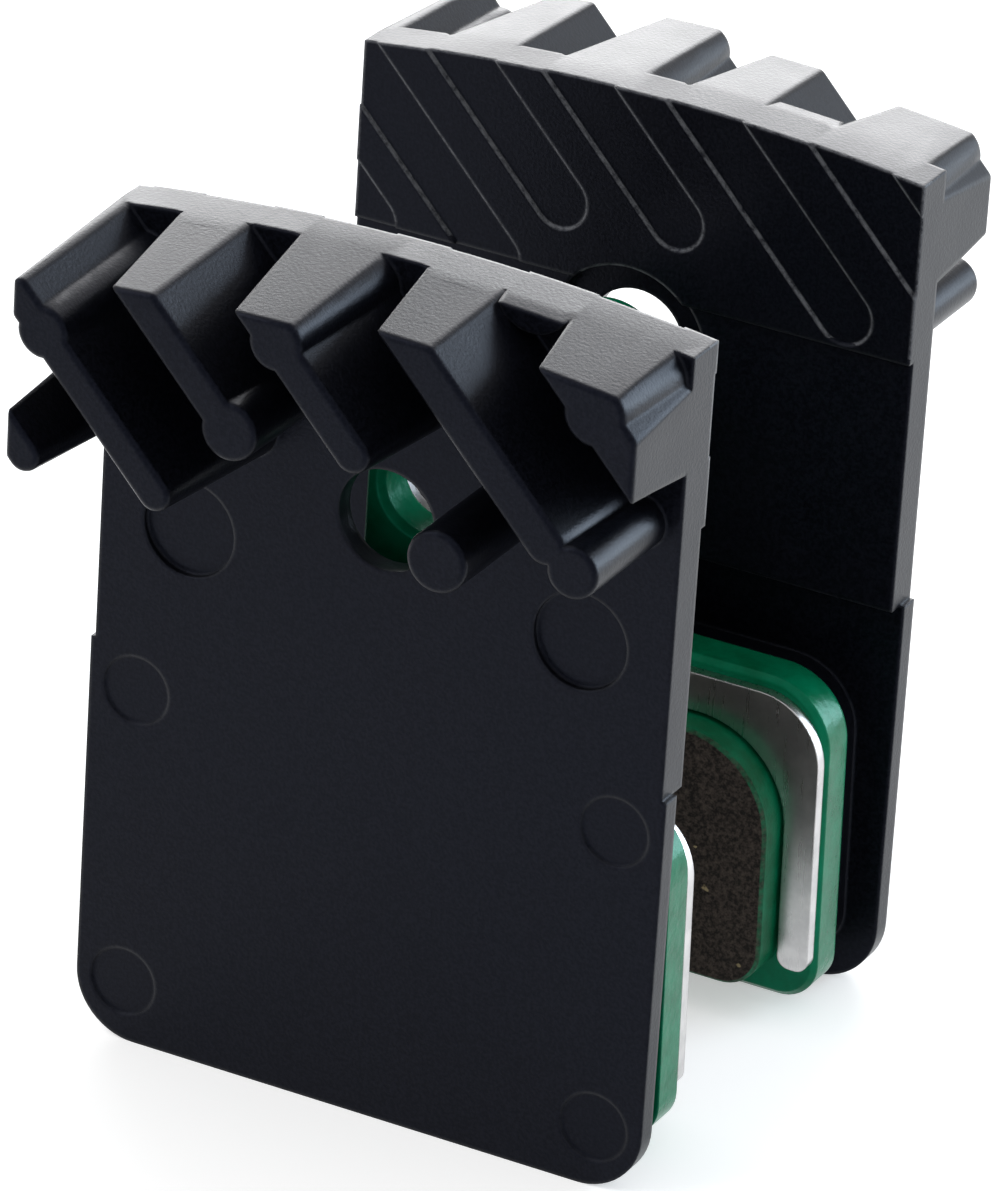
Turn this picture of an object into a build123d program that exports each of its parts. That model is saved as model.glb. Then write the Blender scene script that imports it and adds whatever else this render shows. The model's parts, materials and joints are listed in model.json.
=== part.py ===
"""Pair of finned disc brake pads with their spring, standing on the lower edges of the fin plates.

Millimetres, +Z up. X runs along the pads and Y from the front pad to the rear pad. The origin is on
the standing surface, midway between the pads. The front pad is drawn on planes parallel to XZ, each
at a distance in front of the middle plane, and the rear pad is its mirror image.
"""

import math
import os

from build123d import *

# Stack of one pad, from the middle plane outwards
rotor_gap = 8.7
friction_thickness = 1.9
backing_thickness = 1.9
seat_thickness = 3.2
plate_thickness = 2.1
side_thickness = 1.75
rim_thickness = 0.95
spring_thickness = 0.55

# Fin plate outline
plate_height = 38.4
plate_width = 26.5
side_step_width = 0.2
step_height = 18.1
corner_radius = 2.8
top_radius = 97.0
fin_zone_depth = 8.9
seat_margin = 0.7
seat_neck_inset = 0.4
seat_neck_margin = 1.0

# Retaining pin holes, the tab's the narrowest, and the recess of the fin plate behind the tab
pin_height = 26.95
tab_hole_radius = 1.9
tab_hole_bevel = 0.3
plate_hole_clearance = 0.3
spring_hole_clearance = 0.1
tab_recess_clearance = 1.0
hole_wall_thickness = 1.0

# Round marks on the outer face
mark_radius = 1.52
mark_depth = 0.12
mark_margin = 2.2
mark_low_height = 2.7
mark_high_height = 16.2
disc_radius = 2.1
disc_depth = 0.3
disc_margin = 4.3
disc_height = 24.1

# Slanted cooling fins from the left corner of the front pad to the right. Each lies at an offset
# from the middle of the top edge, across the slant, and its lower end at a depth below that edge
fin_angle = 46.5
fin_width = 2.5
fin_draft = 3.8
fin_offsets = (-15.0, -10.8, -6.4, -2.2, 2.05, 6.65)
fin_depths = (8.85, 9.0, 5.7, 5.3, 7.5, 7.4)
fin_lengths = (8.0, 7.9, 7.35, 7.25, 5.9, 4.75)
sink_depth = 0.12

# Round ends and columns of the fins, and the free post below the fourth fin
boss_fin = 2
boss_radius = 1.25
column_fins = (1, 3, 5)
column_depths = (3.4, 1.5, 2.1)
column_radius = 1.65
stub_offset = 2.4
stub_depth = 8.35
stub_length = 5.9
stub_radius = 1.12
post_offset = -2.4
post_depth = 9.3
post_length = 6.3
post_radius = 1.33

# Gate land on the top edge
gate_place = 6.4
gate_radius = 1.8
gate_height = 1.3
gate_length = 1.0
gate_draft = 6.0

# Backing plate
backing_bottom = 0.8
backing_top = 15.4
backing_side_margin = 0.8
backing_taper_width = 0.35
backing_bottom_radius = 1.7
backing_top_radius = 3.0
backing_edge_bevel = 0.25
tab_radius = 2.6
tab_root_radius = 2.5

# Friction block, set in from the edges of the backing plate
friction_side_margin = 1.75
friction_bottom_margin = 0.9
friction_top_margin = 2.4
friction_bottom_radius = 1.8
friction_top_radius = 4.2
friction_edge_bevel = 0.15

# Spring
spring_side_margin = 0.1
spring_top_margin = 0.5
spring_clearance = 0.2
spring_leg_bottom = 2.5
spring_tip_radius = 0.6
spring_neck_width = 4.4
spring_root_radius = 1.5
spring_eye_width = 0.6
spring_bridge_width = 3.2
spring_bend_margin = 0.2
spring_bend_radius = 0.5
spring_lap = 0.2

# Widths, radii and heights that follow from these
upper_width = plate_width - 2 * side_step_width
backing_bottom_width = plate_width - 2 * backing_side_margin
backing_top_width = backing_bottom_width - 2 * backing_taper_width
fin_zone_height = plate_height - fin_zone_depth
plate_hole_radius = tab_hole_radius + plate_hole_clearance
tab_recess_radius = tab_radius + tab_recess_clearance
seat_neck_width = 2 * (tab_radius - seat_neck_inset)
seat_neck_bottom = backing_top - 2 * seat_margin
seat_neck_top = pin_height - tab_recess_radius - seat_neck_margin
spring_hole_radius = tab_hole_radius + spring_hole_clearance
spring_eye_radius = spring_hole_radius + spring_eye_width
spring_bend_height = pin_height + spring_hole_radius + spring_bend_margin

# Distances of the faces from the middle plane
friction_face = rotor_gap / 2
backing_face = friction_face + friction_thickness
seat_face = backing_face + backing_thickness
outer_face = seat_face + seat_thickness
plate_face = outer_face - plate_thickness
side_face = outer_face - side_thickness
rim_face = outer_face - rim_thickness
spring_face = backing_face - spring_thickness

slant = math.radians(fin_angle)
fin_down = Vector(math.cos(slant), -math.sin(slant))
fin_across = Vector(math.sin(slant), math.cos(slant))


def fin_point(offset, depth):
    """Point on a slanted line at an offset, at a depth below the middle of the top edge."""
    foot = Vector(0, plate_height) + fin_across * offset
    return foot + fin_down * ((foot.Y - plate_height + depth) / math.sin(slant))


def below_top_arc(width, bottom):
    """Face of a width, from a height up to the arched top edge of the plate."""
    with BuildSketch() as face:
        with Locations((0, bottom)):
            Rectangle(width, plate_height - bottom, align=(Align.CENTER, Align.MIN))
        with Locations((0, plate_height - top_radius)):
            Circle(top_radius, mode=Mode.INTERSECT)
    return face.sketch


def fin_outline(index):
    """Fin where it meets the plate, with a round lower end and the plate's arched top."""
    lower = fin_point(fin_offsets[index], fin_depths[index])
    upper = fin_point(fin_offsets[index], -fin_width)
    with BuildSketch() as fin:
        with Locations((lower + upper) / 2):
            SlotCenterToCenter((upper - lower).length, fin_width, rotation=-fin_angle)
        add(below_top_arc(2 * upper_width, 0), mode=Mode.INTERSECT)
    return fin.sketch


def round_outline(offset, depth, radius):
    """Round boss, column or post where it meets the plate."""
    with BuildSketch() as boss:
        with Locations(fin_point(offset, depth)):
            Circle(radius)
        add(below_top_arc(2 * upper_width, 0), mode=Mode.INTERSECT)
    return boss.sketch


def pad_outline(side, bottom, top, bottom_radius, top_radius):
    """Body of the backing plate set in by margins, with rounded corners."""
    low = backing_bottom + bottom
    high = backing_top - top
    taper = (backing_bottom_width - backing_top_width) / 2 / (backing_top - backing_bottom)
    half_low = backing_bottom_width / 2 - taper * bottom - side
    half_high = backing_top_width / 2 + taper * top - side
    with BuildSketch() as body:
        with BuildLine():
            Polyline((-half_low, low), (half_low, low), (half_high, high), (-half_high, high), close=True)
        make_face()
        fillet(body.vertices().group_by(Axis.Y)[0], bottom_radius)
        fillet(body.vertices().group_by(Axis.Y)[-1], top_radius)
    return body.sketch


def tab_outline(radius, bottom):
    """Upright tab with a round end about the pin axis."""
    with BuildSketch() as tab:
        with Locations((0, bottom)):
            Rectangle(2 * radius, pin_height - bottom, align=(Align.CENTER, Align.MIN))
        with Locations((0, pin_height)):
            Circle(radius)
    return tab.sketch


with BuildPart() as fins:
    for index, length in enumerate(fin_lengths):
        with BuildSketch(Plane.XZ.offset(outer_face)):
            add(fin_outline(index))
        extrude(amount=length, taper=fin_draft)
    with BuildSketch(Plane.XZ.offset(outer_face)):
        add(round_outline(fin_offsets[boss_fin], fin_depths[boss_fin], boss_radius))
    extrude(amount=fin_lengths[boss_fin])
    for index, depth in zip(column_fins, column_depths):
        with BuildSketch(Plane.XZ.offset(outer_face)):
            add(round_outline(fin_offsets[index], depth, column_radius))
        extrude(amount=fin_lengths[index], taper=fin_draft)
    with BuildSketch(Plane.XZ.offset(outer_face)):
        add(round_outline(stub_offset, stub_depth, stub_radius))
    extrude(amount=stub_length)
    with BuildSketch(Plane.XZ.offset(outer_face)):
        add(round_outline(post_offset, post_depth, post_radius))
    extrude(amount=post_length)
    # The outermost fins end flush with the sides of the plate
    with BuildSketch(Plane.XZ.offset(outer_face)):
        Rectangle(upper_width, 2 * plate_height)
    extrude(amount=2 * max(fin_lengths), mode=Mode.INTERSECT)

with BuildPart() as front_fin_plate:
    # Rim over the whole outline, with the lower corners rounded
    with BuildSketch(Plane.XZ.offset(rim_face)) as rim:
        add(below_top_arc(upper_width, 0))
        Rectangle(plate_width, step_height, align=(Align.CENTER, Align.MIN))
        fillet(rim.vertices().group_by(Axis.Y)[0], corner_radius)
    extrude(amount=rim_thickness)
    # Thicker part above the step
    with BuildSketch(Plane.XZ.offset(side_face)):
        add(below_top_arc(upper_width, step_height))
    extrude(amount=side_thickness)
    # Full thickness behind the fins, with sink marks
    with BuildSketch(Plane.XZ.offset(plate_face)):
        add(below_top_arc(upper_width, fin_zone_height))
    extrude(amount=plate_thickness)
    with BuildSketch(Plane.XZ.offset(plate_face)):
        for index in range(len(fin_lengths)):
            add(fin_outline(index))
        add(below_top_arc(upper_width, fin_zone_height), mode=Mode.INTERSECT)
    extrude(amount=sink_depth, mode=Mode.SUBTRACT)
    add(fins.part)
    # Raised seat of the backing plate, with a neck under the root of its tab
    with BuildSketch(Plane.XZ.offset(seat_face)):
        add(pad_outline(seat_margin, seat_margin, seat_margin, backing_bottom_radius, backing_top_radius))
        with Locations((0, seat_neck_bottom)):
            Rectangle(seat_neck_width, seat_neck_top - seat_neck_bottom, align=(Align.CENTER, Align.MIN))
    extrude(amount=seat_thickness)
    # Gate land on the top edge
    with BuildSketch(Plane.XZ.offset(outer_face)):
        with Locations((gate_place, plate_height + gate_radius - gate_height)):
            Circle(gate_radius)
        add(below_top_arc(upper_width, 0), mode=Mode.INTERSECT)
    extrude(amount=gate_length, taper=gate_draft)
    # Round marks and recessed discs on the outer face
    with BuildSketch(Plane.XZ.offset(outer_face)):
        with Locations((0, (mark_low_height + mark_high_height) / 2)):
            with GridLocations(plate_width - 2 * mark_margin, mark_high_height - mark_low_height, 2, 2):
                Circle(mark_radius)
    extrude(amount=-mark_depth, mode=Mode.SUBTRACT)
    with BuildSketch(Plane.XZ.offset(outer_face)):
        with Locations((0, disc_height)):
            with GridLocations(plate_width - 2 * disc_margin, 1, 2, 1):
                Circle(disc_radius)
    extrude(amount=-disc_depth, mode=Mode.SUBTRACT)
    # Pin hole, in a round recess behind the end of the tab
    with BuildSketch(Plane.XZ.offset(outer_face - hole_wall_thickness)):
        with Locations((0, pin_height)):
            Circle(tab_recess_radius)
    extrude(amount=-seat_thickness, mode=Mode.SUBTRACT)
    with BuildSketch(Plane.XZ.offset(seat_face)):
        with Locations((0, pin_height)):
            Circle(plate_hole_radius)
    extrude(amount=seat_thickness, mode=Mode.SUBTRACT)

with BuildPart() as front_backing_plate:
    with BuildSketch(Plane.XZ.offset(backing_face)) as backing:
        add(pad_outline(0, 0, 0, backing_bottom_radius, backing_top_radius))
        add(tab_outline(tab_radius, backing_top))
        for side in (-1, 1):
            root = backing.vertices().sort_by_distance((side * tab_radius, backing_top))[0]
            fillet(root, tab_root_radius)
        with Locations((0, pin_height)):
            Circle(tab_hole_radius, mode=Mode.SUBTRACT)
    extrude(amount=backing_thickness)
    inner_side = faces().sort_by(Axis.Y)[-1]
    outer_side = faces().sort_by(Axis.Y)[0]
    chamfer(outer_side.inner_wires().edges(), tab_hole_bevel)
    chamfer(inner_side.outer_wire().edges(), backing_edge_bevel)

with BuildPart() as front_friction_pad:
    with BuildSketch(Plane.XZ.offset(friction_face)):
        add(
            pad_outline(
                friction_side_margin,
                friction_bottom_margin,
                friction_top_margin,
                friction_bottom_radius,
                friction_top_radius,
            )
        )
    extrude(amount=friction_thickness)
    chamfer(faces().sort_by(Axis.Y)[-1].edges(), friction_edge_bevel)

with BuildPart() as pad_spring:
    # Leaf on the front backing plate, an arch over the friction block with an eye at the pin
    with BuildSketch(Plane.XZ.offset(spring_face)) as leaf:
        add(
            pad_outline(
                spring_side_margin,
                -spring_leg_bottom,
                spring_top_margin,
                backing_bottom_radius,
                backing_top_radius,
            )
        )
        add(
            pad_outline(
                friction_side_margin - spring_clearance,
                -spring_leg_bottom,
                friction_top_margin - spring_clearance,
                friction_bottom_radius,
                friction_top_radius + spring_clearance,
            ),
            mode=Mode.SUBTRACT,
        )
        Rectangle(plate_width, 2 * spring_leg_bottom, mode=Mode.SUBTRACT)
        fillet(leaf.vertices().group_by(Axis.Y)[0], spring_tip_radius)
        arch_top = backing_top - spring_top_margin
        with Locations((0, arch_top)):
            Rectangle(spring_neck_width, pin_height - arch_top, align=(Align.CENTER, Align.MIN))
        for side in (-1, 1):
            root = leaf.vertices().sort_by_distance((side * spring_neck_width / 2, arch_top))[0]
            fillet(root, spring_root_radius)
        with Locations((0, pin_height)):
            Circle(spring_eye_radius)
            Circle(spring_hole_radius, mode=Mode.SUBTRACT)
        Rectangle(plate_width, 2 * spring_bend_height, mode=Mode.INTERSECT)
    extrude(amount=spring_thickness)
    mirror(about=Plane.XZ)
    # Bridge bent over from eye to eye
    with BuildSketch(Plane.YZ):
        with BuildLine():
            bridge_height = spring_bend_height + spring_bend_radius + spring_thickness
            FilletPolyline(
                (-backing_face, spring_bend_height - spring_lap),
                (-backing_face, bridge_height),
                (backing_face, bridge_height),
                (backing_face, spring_bend_height - spring_lap),
                radius=spring_bend_radius + spring_thickness,
            )
            offset(amount=spring_thickness, side=Side.RIGHT)
        make_face()
    extrude(amount=spring_bridge_width / 2, both=True)

with BuildPart() as rear_fin_plate:
    mirror(front_fin_plate.part, about=Plane.XZ)

with BuildPart() as rear_backing_plate:
    mirror(front_backing_plate.part, about=Plane.XZ)

with BuildPart() as rear_friction_pad:
    mirror(front_friction_pad.part, about=Plane.XZ)

front_fin_plate.part.label = "front_fin_plate"
front_backing_plate.part.label = "front_backing_plate"
front_friction_pad.part.label = "front_friction_pad"
rear_fin_plate.part.label = "rear_fin_plate"
rear_backing_plate.part.label = "rear_backing_plate"
rear_friction_pad.part.label = "rear_friction_pad"
pad_spring.part.label = "pad_spring"

os.makedirs("parts", exist_ok=True)
export_step(front_fin_plate.part, "parts/front_fin_plate.step")
export_step(front_backing_plate.part, "parts/front_backing_plate.step")
export_step(front_friction_pad.part, "parts/front_friction_pad.step")
export_step(rear_fin_plate.part, "parts/rear_fin_plate.step")
export_step(rear_backing_plate.part, "parts/rear_backing_plate.step")
export_step(rear_friction_pad.part, "parts/rear_friction_pad.step")
export_step(pad_spring.part, "parts/pad_spring.step")
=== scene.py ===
"""Finned disc brake pad set: materials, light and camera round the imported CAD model."""

import json
import math

import bpy
from mathutils import Matrix, Vector


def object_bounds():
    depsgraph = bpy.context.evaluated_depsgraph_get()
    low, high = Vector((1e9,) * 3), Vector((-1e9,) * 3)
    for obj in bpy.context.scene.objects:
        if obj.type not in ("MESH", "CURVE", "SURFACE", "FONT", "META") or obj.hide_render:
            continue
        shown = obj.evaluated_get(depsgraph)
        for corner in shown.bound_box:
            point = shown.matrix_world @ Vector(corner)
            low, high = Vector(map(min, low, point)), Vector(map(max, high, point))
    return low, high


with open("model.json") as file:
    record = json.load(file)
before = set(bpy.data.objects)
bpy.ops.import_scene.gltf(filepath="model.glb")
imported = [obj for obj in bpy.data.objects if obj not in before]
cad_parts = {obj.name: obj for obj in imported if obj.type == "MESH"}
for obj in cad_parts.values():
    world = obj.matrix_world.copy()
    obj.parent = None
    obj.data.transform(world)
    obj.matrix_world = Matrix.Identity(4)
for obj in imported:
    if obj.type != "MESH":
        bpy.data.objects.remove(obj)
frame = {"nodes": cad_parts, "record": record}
cad_low, cad_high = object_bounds()

MM = 0.001
WHITE = (1.0, 1.0, 1.0, 1.0)

# Camera at the photograph's angle: where it looks, from where, and its roll
CAMERA_TARGET = Vector((-0.38, 0.0, 18.98)) * MM
CAMERA_DISTANCE = 381.3 * MM
CAMERA_AZIMUTH = 26.52
CAMERA_ELEVATION = 25.78
CAMERA_ROLL = 3.72
CAMERA_LENS = 279.05
CAMERA_SENSOR = 36.0
CAMERA_NEAR = 0.01
CAMERA_FAR = 20.0

# Rounding of the fins' tips and its share along the fins. It goes to edges that reach further from
# the middle plane than the plates' gate lands and that are sharper than an angle
TIP_ROUND = 0.2 * MM
TIP_SEGMENTS = 3
FIN_SHARE = 0.9
TIP_START = 12.4 * MM
TIP_SHARP = math.radians(43.0)

# Before the rounding, corners this close are merged, and so are facets within an angle of one
# plane. The slighter creases on the upward faces of the fins and the plates are kept
WELD_DISTANCE = 0.001 * MM
PLANE_ANGLE = math.radians(3.0)
FIN_CREASE = math.radians(0.4)
PLATE_CREASE = math.radians(0.05)
UPWARD = 0.9
SMOOTH_ANGLE = math.radians(35.0)

# Where the edges of the moulding lines get a pale painted highlight: inside this distance from the
# middle plane, above this height
LINES_INSIDE = 10.0 * MM
LINES_ABOVE = 29.8 * MM

# Finishes: linear colours, softness of the edges, and depth of the grain
BLACK = (0.0012, 0.0014, 0.0024, 1.0)
BLACK_GRAIN = (0.0045, 0.005, 0.0078, 1.0)
BLACK_GLOSS = (0.1, 0.115, 0.18, 1.0)
# Lighter edges: partly wear of the coat, partly a painted highlight along the edges
BLACK_WEAR_AND_EDGE_HIGHLIGHT = (0.016, 0.0165, 0.019, 1.0)
# Pale colour on the edges of the moulding lines inside the plates: a painted highlight
BLACK_LINE_HIGHLIGHT = (0.2, 0.205, 0.22, 1.0)
BLACK_EDGE = 0.24 * MM
BLACK_DEPTH = 0.025 * MM
GREEN = (0.001, 0.155, 0.07, 1.0)
GREEN_DEEP = (0.001, 0.1, 0.04, 1.0)
GREEN_GLOSS = (0.1, 0.7, 0.5, 1.0)
GREEN_EDGE = 0.16 * MM
GREEN_DEPTH = 0.05 * MM
FRICTION_DARK = (0.01, 0.0085, 0.0075, 1.0)
FRICTION_LIGHT = (0.085, 0.067, 0.055, 1.0)
FRICTION_CHIP = (0.34, 0.27, 0.15, 1.0)
FRICTION_WANDER = 0.0006
FRICTION_EDGE = 0.1 * MM
FRICTION_DEPTH = 0.06 * MM
STEEL = (0.62, 0.605, 0.6, 1.0)
STEEL_DARK = (0.5, 0.49, 0.49, 1.0)
STEEL_STRETCH = (1.0, 1.0, 0.06)
STEEL_EDGE = 0.1 * MM
STEEL_DEPTH = 0.01 * MM

# Studio: the floor's size, colour and glow, how bright the white surroundings look and how much
# they light matt surfaces, and the tint of the cool lamp
FLOOR_HALF = 4.0
FLOOR_WHITE = (0.9, 0.9, 0.9, 1.0)
FLOOR_GLOW = 0.45
SKY_SEEN = 1.0
SKY_LIGHT = 0.45
COOL = (0.72, 0.87, 1.0)


class Nodes:
    """Short way to add and link the nodes of one material, world or geometry group."""

    def __init__(self, tree):
        self.tree = tree
        tree.nodes.clear()

    def add(self, kind, inputs=None, **settings):
        """New node. Its inputs, by name or number, are linked to an output or set to a value."""
        node = self.tree.nodes.new(kind)
        for name, value in settings.items():
            setattr(node, name, value)
        for key, value in (inputs or {}).items():
            if isinstance(value, bpy.types.NodeSocket):
                self.tree.links.new(value, node.inputs[key])
            else:
                node.inputs[key].default_value = value
        return node

    def place(self):
        return self.add("ShaderNodeTexCoord").outputs["Object"]

    def split(self, vector):
        return self.add("ShaderNodeSeparateXYZ", {"Vector": vector}).outputs

    def noise(self, vector, scale, detail=4.0, roughness=0.6):
        inputs = {"Vector": vector, "Scale": scale, "Detail": detail, "Roughness": roughness}
        return self.add("ShaderNodeTexNoise", inputs).outputs["Fac"]

    def ramp(self, value, low, high, invert=False):
        """Smooth step from 0 to 1 between two values, or from 1 to 0."""
        start, end = (1.0, 0.0) if invert else (0.0, 1.0)
        inputs = {"Value": value, "From Min": low, "From Max": high, "To Min": start, "To Max": end}
        node = self.add("ShaderNodeMapRange", inputs, interpolation_type="SMOOTHSTEP")
        return node.outputs["Result"]

    def between(self, value, low, high):
        """A value from 0 to 1, brought to lie between two others."""
        inputs = {"Value": value, "To Min": low, "To Max": high}
        return self.add("ShaderNodeMapRange", inputs).outputs["Result"]

    def math(self, operation, a, b=0.0):
        return self.add("ShaderNodeMath", {0: a, 1: b}, operation=operation).outputs["Value"]

    def mix(self, factor, a, b):
        return self.add("ShaderNodeMix", {0: factor, 6: a, 7: b}, data_type="RGBA").outputs[2]

    def rounded(self, radius):
        """Normal that is rounded along the edges."""
        return self.add("ShaderNodeBevel", {"Radius": radius}, samples=6).outputs["Normal"]

    def on_edge(self, rounded):
        """How much a point lies on an edge."""
        flat = self.add("ShaderNodeNewGeometry").outputs["Normal"]
        dot = self.add("ShaderNodeVectorMath", {0: rounded, 1: flat}, operation="DOT_PRODUCT")
        return self.ramp(dot.outputs["Value"], 0.8, 0.99, invert=True)

    def bump(self, height, strength, distance, normal):
        inputs = {"Height": height, "Strength": strength, "Distance": distance, "Normal": normal}
        return self.add("ShaderNodeBump", inputs).outputs["Normal"]

    def surface(self, shader):
        self.add("ShaderNodeOutputMaterial", {"Surface": shader.outputs[0]})

    def finish(self, color, roughness, normal, **constants):
        """Ends a material with one shader. Underscores in the constants' names stand for spaces."""
        inputs = {"Base Color": color, "Roughness": roughness, "Normal": normal}
        inputs.update({name.replace("_", " "): value for name, value in constants.items()})
        self.surface(self.add("ShaderNodeBsdfPrincipled", inputs))


def new_material(name):
    material = bpy.data.materials.new(name)
    material.use_nodes = True
    return material, Nodes(material.node_tree)


def black_casting():
    """Satin black coat over a fine cast grain, painted lighter along the edges, partly as wear and
    partly as a painted highlight, with a brighter painted highlight on the moulding lines inside
    the plates.
    """
    material, n = new_material("black_casting")
    place = n.place()
    grain = n.noise(place, 6500.0, 3.0, 0.6)
    rounded = n.rounded(BLACK_EDGE)
    # Edges painted lighter, broken up by noise: partly wear, partly a painted highlight
    patchy_wear_and_highlight = n.ramp(n.noise(place, 2600.0, 5.0, 0.7), 0.26, 0.62)
    edge_wear_and_highlight = n.math("MULTIPLY", n.on_edge(rounded), patchy_wear_and_highlight)
    spot = n.split(place)
    # Inside the plates and above a height, the edges get the pale painted highlight of the moulding
    # lines
    inside = n.math("LESS_THAN", n.math("ABSOLUTE", spot["Y"]), LINES_INSIDE)
    lines = n.math("MULTIPLY", inside, n.math("GREATER_THAN", spot["Z"], LINES_ABOVE))
    coat = n.mix(n.ramp(grain, 0.36, 0.66), BLACK, BLACK_GRAIN)
    n.finish(
        n.mix(edge_wear_and_highlight, coat, n.mix(lines, BLACK_WEAR_AND_EDGE_HIGHLIGHT, BLACK_LINE_HIGHLIGHT)),
        n.between(n.noise(place, 320.0), 0.27, 0.4),
        n.bump(grain, 0.5, BLACK_DEPTH, rounded),
        Specular_IOR_Level=0.5,
        Specular_Tint=BLACK_GLOSS,
    )
    return material


def green_paint():
    """Semi-gloss green paint with a slight orange-peel, thinner and deeper in patches."""
    material, n = new_material("green_backing")
    place = n.place()
    peel = n.noise(place, 2300.0, 3.0, 0.5)
    patches = n.ramp(n.noise(place, 520.0), 0.35, 0.7)
    n.finish(
        n.mix(patches, GREEN, GREEN_DEEP),
        n.between(n.noise(place, 900.0), 0.18, 0.3),
        n.bump(peel, 0.5, GREEN_DEPTH, n.rounded(GREEN_EDGE)),
        Specular_IOR_Level=0.4,
        Specular_Tint=GREEN_GLOSS,
    )
    return material


def friction_compound():
    """Gritty pressed compound with pale chips and pits on its working face, green on its sides."""
    material, n = new_material("friction")
    place = n.place()
    # The working face, with a ragged border to the painted sides
    facing = n.split(n.add("ShaderNodeNewGeometry").outputs["Normal"])["Y"]
    stray = n.between(n.noise(place, 1800.0), -0.2, 0.2)
    face = n.ramp(n.math("ADD", n.math("ABSOLUTE", facing), stray), 0.6, 0.82)
    # Grit, and cells with bent borders, of which a few are chips or pits
    grit = n.noise(place, 5200.0, 8.0, 0.7)
    turbid = {"Vector": place, "Scale": 2400.0, "Detail": 3.0}
    wander = n.add("ShaderNodeTexNoise", turbid).outputs["Color"]
    bent = n.add("ShaderNodeMix", {0: FRICTION_WANDER, 4: place, 5: wander}, data_type="VECTOR")
    cells = n.add("ShaderNodeTexVoronoi", {"Vector": bent.outputs[1], "Scale": 1700.0}).outputs
    tone = n.add("ShaderNodeSeparateColor", {"Color": cells["Color"]}).outputs
    near = n.ramp(cells["Distance"], 0.14, 0.24, invert=True)
    chip = n.math("MULTIPLY", n.ramp(tone["Red"], 0.93, 0.94), near)
    pit = n.math("MULTIPLY", n.ramp(tone["Green"], 0.9, 0.92), near)
    compound = n.mix(n.ramp(grit, 0.36, 0.7), FRICTION_DARK, FRICTION_LIGHT)
    # The pits are painted in the compound's dark tone: painted shade inside the recesses
    compound = n.mix(n.math("MULTIPLY", pit, 0.85), compound, FRICTION_DARK)
    compound = n.mix(chip, compound, FRICTION_CHIP)
    paint = n.mix(n.ramp(n.noise(place, 900.0), 0.35, 0.7), GREEN, GREEN_DEEP)
    height = n.math("ADD", n.math("SUBTRACT", grit, pit), n.math("MULTIPLY", chip, 0.5))
    n.finish(
        n.mix(face, paint, compound),
        n.between(face, 0.4, 0.75),
        n.bump(height, 0.6, FRICTION_DEPTH, n.rounded(FRICTION_EDGE)),
        Specular_IOR_Level=0.15,
    )
    return material


def spring_steel():
    """Rolled stainless sheet, with faint rolling lines up the leaf and slight stains."""
    material, n = new_material("spring_steel")
    place = n.place()
    stretched = n.add("ShaderNodeMapping", {"Vector": place, "Scale": STEEL_STRETCH})
    lines = n.noise(stretched.outputs["Vector"], 5200.0, 3.0)
    n.finish(
        n.mix(n.ramp(n.noise(place, 800.0), 0.35, 0.7), STEEL, STEEL_DARK),
        n.between(lines, 0.25, 0.31),
        n.bump(lines, 0.025, STEEL_DEPTH, n.rounded(STEEL_EDGE)),
        Metallic=1.0,
    )
    return material


def dress():
    """Gives every node of the frame its finish."""
    finishes = {
        "black_casting": black_casting(),
        "green_backing": green_paint(),
        "friction": friction_compound(),
        "spring_steel": spring_steel(),
    }
    for part in frame["record"]["subparts"]:
        piece = frame["nodes"][part["node"]]
        piece.data.materials.clear()
        piece.data.materials.append(finishes[part["material_slot"]])


def new_geometry_group(name):
    """Geometry node group with one geometry in and one out."""
    group = bpy.data.node_groups.new(name, "GeometryNodeTree")
    for side in ("INPUT", "OUTPUT"):
        group.interface.new_socket("Geometry", in_out=side, socket_type="NodeSocketGeometry")
    n = Nodes(group)
    return group, n, n.add("NodeGroupInput").outputs[0]


def edge_ends(n):
    """How far the two ends of each edge lie from the middle plane."""
    ends = n.add("GeometryNodeInputMeshEdgeVertices").outputs
    return [n.math("ABSOLUTE", n.split(ends[name])["Y"]) for name in ("Position 1", "Position 2")]


def edge_angle(n, kind):
    return n.add("GeometryNodeInputMeshEdgeAngle").outputs[kind]


def shade(n, geometry, domain, smooth, selection=True):
    """Shades the faces, or the edges, of a geometry smooth or sharp."""
    inputs = {"Geometry": geometry, "Selection": selection, "Shade Smooth": smooth}
    return n.add("GeometryNodeSetShadeSmooth", inputs, domain=domain).outputs["Geometry"]


def top_creases():
    """Marks the slight creases on top of the plates, so that they stay when planes are merged."""
    group, n, geometry = new_geometry_group("top_creases")
    rise = n.split(n.add("GeometryNodeInputNormal").outputs["Normal"])["Z"]
    upward = {"Value": n.math("GREATER_THAN", rise, UPWARD)}
    faces = n.add("GeometryNodeFieldOnDomain", upward, data_type="FLOAT", domain="FACE").outputs[0]
    on_top = n.math("GREATER_THAN", faces, UPWARD)
    on_plate = n.math("LESS_THAN", n.math("MAXIMUM", *edge_ends(n)), TIP_START)
    limit = n.between(on_plate, FIN_CREASE, PLATE_CREASE)
    bent = n.math("GREATER_THAN", edge_angle(n, "Unsigned Angle"), limit)
    creased = shade(n, geometry, "EDGE", False, n.math("MULTIPLY", bent, on_top))
    n.add("NodeGroupOutput", {0: creased})
    return group


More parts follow.
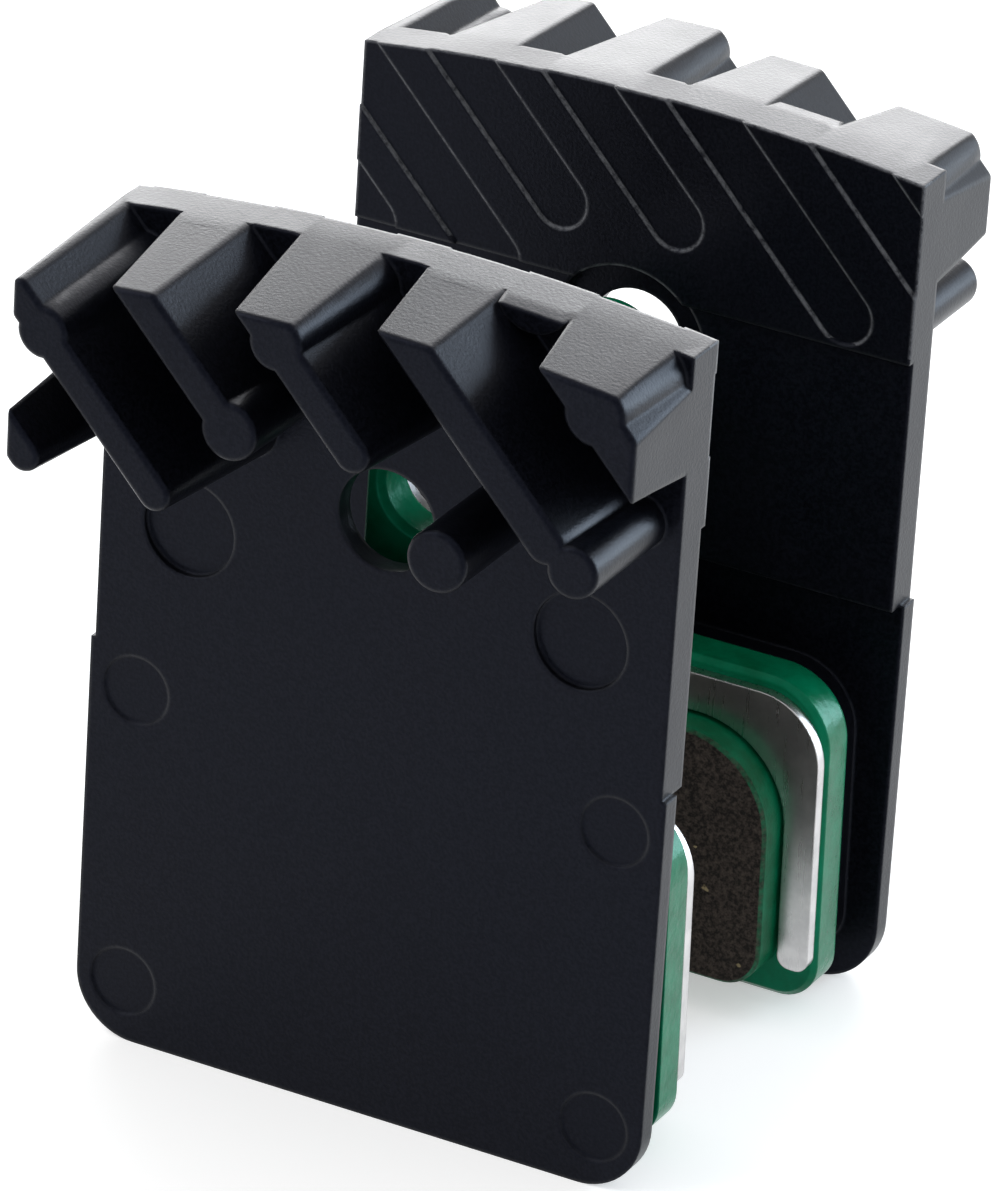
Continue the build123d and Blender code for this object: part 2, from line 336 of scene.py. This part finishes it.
def tip_edges():
    """Marks the sharp edges round the tips of the fins for the rounding."""
    group, n, geometry = new_geometry_group("tip_edges")
    first, second = edge_ends(n)
    sharp = n.math("GREATER_THAN", edge_angle(n, "Signed Angle"), TIP_SHARP)
    outside = n.math("GREATER_THAN", n.math("MAXIMUM", first, second), TIP_START)
    reach = n.math("ABSOLUTE", n.math("SUBTRACT", first, second))
    share = n.between(n.math("GREATER_THAN", reach, TIP_ROUND), 1.0, FIN_SHARE)
    mark = n.math("MULTIPLY", n.math("MULTIPLY", sharp, outside), share)
    inputs = {"Geometry": geometry, "Name": "bevel_weight_edge", "Value": mark}
    store = n.add("GeometryNodeStoreNamedAttribute", inputs, data_type="FLOAT", domain="EDGE")
    n.add("NodeGroupOutput", {0: store.outputs["Geometry"]})
    return group


def smooth_faces():
    """Smooth shading up to an angle, in place of the normals that came with the mesh."""
    group, n, geometry = new_geometry_group("smooth_faces")
    inputs = {"Geometry": geometry, "Name": "custom_normal"}
    plain = n.add("GeometryNodeRemoveAttribute", inputs).outputs["Geometry"]
    smooth = shade(n, shade(n, plain, "FACE", True), "EDGE", True)
    sharp = n.math("GREATER_THAN", edge_angle(n, "Unsigned Angle"), SMOOTH_ANGLE)
    n.add("NodeGroupOutput", {0: shade(n, smooth, "EDGE", False, sharp)})
    return group


def soften_tips(names):
    """Rounds the tips of the cast fins, on a mesh whose flat faces are merged first."""
    creased, marked, smoothed = top_creases(), tip_edges(), smooth_faces()
    for name in names:
        piece = frame["nodes"][name]
        piece.modifiers.new("weld", "WELD").merge_threshold = WELD_DISTANCE
        piece.modifiers.new("creased", "NODES").node_group = creased
        planes = piece.modifiers.new("planes", "DECIMATE")
        planes.decimate_type = "DISSOLVE"
        planes.delimit = {"NORMAL", "SHARP"}
        planes.angle_limit = PLANE_ANGLE
        piece.modifiers.new("marked", "NODES").node_group = marked
        rounded = piece.modifiers.new("rounded", "BEVEL")
        rounded.width = TIP_ROUND
        rounded.segments = TIP_SEGMENTS
        rounded.limit_method = "WEIGHT"
        rounded.use_clamp_overlap = False
        piece.modifiers.new("smoothed", "NODES").node_group = smoothed
        piece.modifiers.new("flat", "WEIGHTED_NORMAL").keep_sharp = True


def make_camera():
    azimuth, elevation = math.radians(CAMERA_AZIMUTH), math.radians(CAMERA_ELEVATION)
    level = math.cos(elevation)
    away = Vector((math.sin(azimuth) * level, -math.cos(azimuth) * level, math.sin(elevation)))
    roll = Matrix.Rotation(math.radians(CAMERA_ROLL), 4, "Z")
    turn = away.to_track_quat("Z", "Y").to_matrix().to_4x4() @ roll
    camera = bpy.data.objects.new("camera", bpy.data.cameras.new("camera"))
    camera.matrix_world = Matrix.Translation(CAMERA_TARGET + away * CAMERA_DISTANCE) @ turn
    camera.data.lens = CAMERA_LENS
    camera.data.sensor_width = CAMERA_SENSOR
    camera.data.clip_start = CAMERA_NEAR
    camera.data.clip_end = CAMERA_FAR
    bpy.context.scene.collection.objects.link(camera)
    bpy.context.scene.camera = camera


def make_floor():
    """Pale floor, white to the eye, that keeps the object's shadow."""
    mesh = bpy.data.meshes.new("floor")
    signs = ((-1, -1), (1, -1), (1, 1), (-1, 1))
    corners = [(x * FLOOR_HALF, y * FLOOR_HALF, 0.0) for x, y in signs]
    mesh.from_pydata(corners, [], [(0, 1, 2, 3)])
    floor = bpy.data.objects.new("floor", mesh)
    floor.location.z = cad_low.z
    bpy.context.scene.collection.objects.link(floor)
    material, n = new_material("floor")
    path = n.add("ShaderNodeLightPath").outputs
    seen = n.math("MAXIMUM", path["Is Camera Ray"], path["Is Glossy Ray"])
    matt = n.add("ShaderNodeBsdfDiffuse", {"Color": FLOOR_WHITE})
    strength = n.math("MULTIPLY", seen, FLOOR_GLOW)
    glow = n.add("ShaderNodeEmission", {"Color": WHITE, "Strength": strength})
    n.surface(n.add("ShaderNodeAddShader", {0: matt.outputs[0], 1: glow.outputs[0]}))
    mesh.materials.append(material)


def make_surroundings():
    """White all round, which lights matt surfaces less than it shows."""
    world = bpy.data.worlds.new("studio")
    bpy.context.scene.world = world
    world.use_nodes = True
    n = Nodes(world.node_tree)
    path = n.add("ShaderNodeLightPath").outputs
    seen = n.math("MAXIMUM", path["Is Camera Ray"], path["Is Transmission Ray"])
    seen = n.math("MAXIMUM", seen, path["Is Glossy Ray"])
    strength = n.between(seen, SKY_LIGHT, SKY_SEEN)
    sky = n.add("ShaderNodeBackground", {"Color": WHITE, "Strength": strength})
    n.add("ShaderNodeOutputWorld", {"Surface": sky.outputs[0]})


def softbox(name, place, size, power, tint=WHITE[:3]):
    """Soft studio lamp that faces the middle of the object."""
    lamp = bpy.data.lights.new(name, "AREA")
    lamp.shape = "RECTANGLE"
    lamp.size, lamp.size_y = size
    lamp.energy = power
    lamp.color = tint
    holder = bpy.data.objects.new(name, lamp)
    holder.location = place
    holder.rotation_mode = "QUATERNION"
    holder.rotation_quaternion = (Vector(place) - CAMERA_TARGET).to_track_quat("Z", "Y")
    bpy.context.scene.collection.objects.link(holder)


def make_light():
    """Lamps behind for the satin tops and edges, and wide soft ones above and in front."""
    make_surroundings()
    softbox("back_strip", (-0.39, 0.675, 0.21), (0.62, 0.24), 3.2)
    softbox("back_left", (-0.17, 0.67, 0.43), (0.28, 0.28), 1.15)
    softbox("back_right", (0.5, 0.5, 0.2), (0.4, 0.4), 4.0, COOL)
    softbox("above", (0.0, 0.0, 0.8), (1.8, 1.8), 3.0)
    softbox("front_left", (-0.5, -0.5, 0.5), (0.4, 0.4), 2.0)


dress()
soften_tips(("front_fin_plate", "rear_fin_plate"))
make_camera()
make_floor()
make_light()
bpy.context.scene.view_settings.view_transform = "Standard"
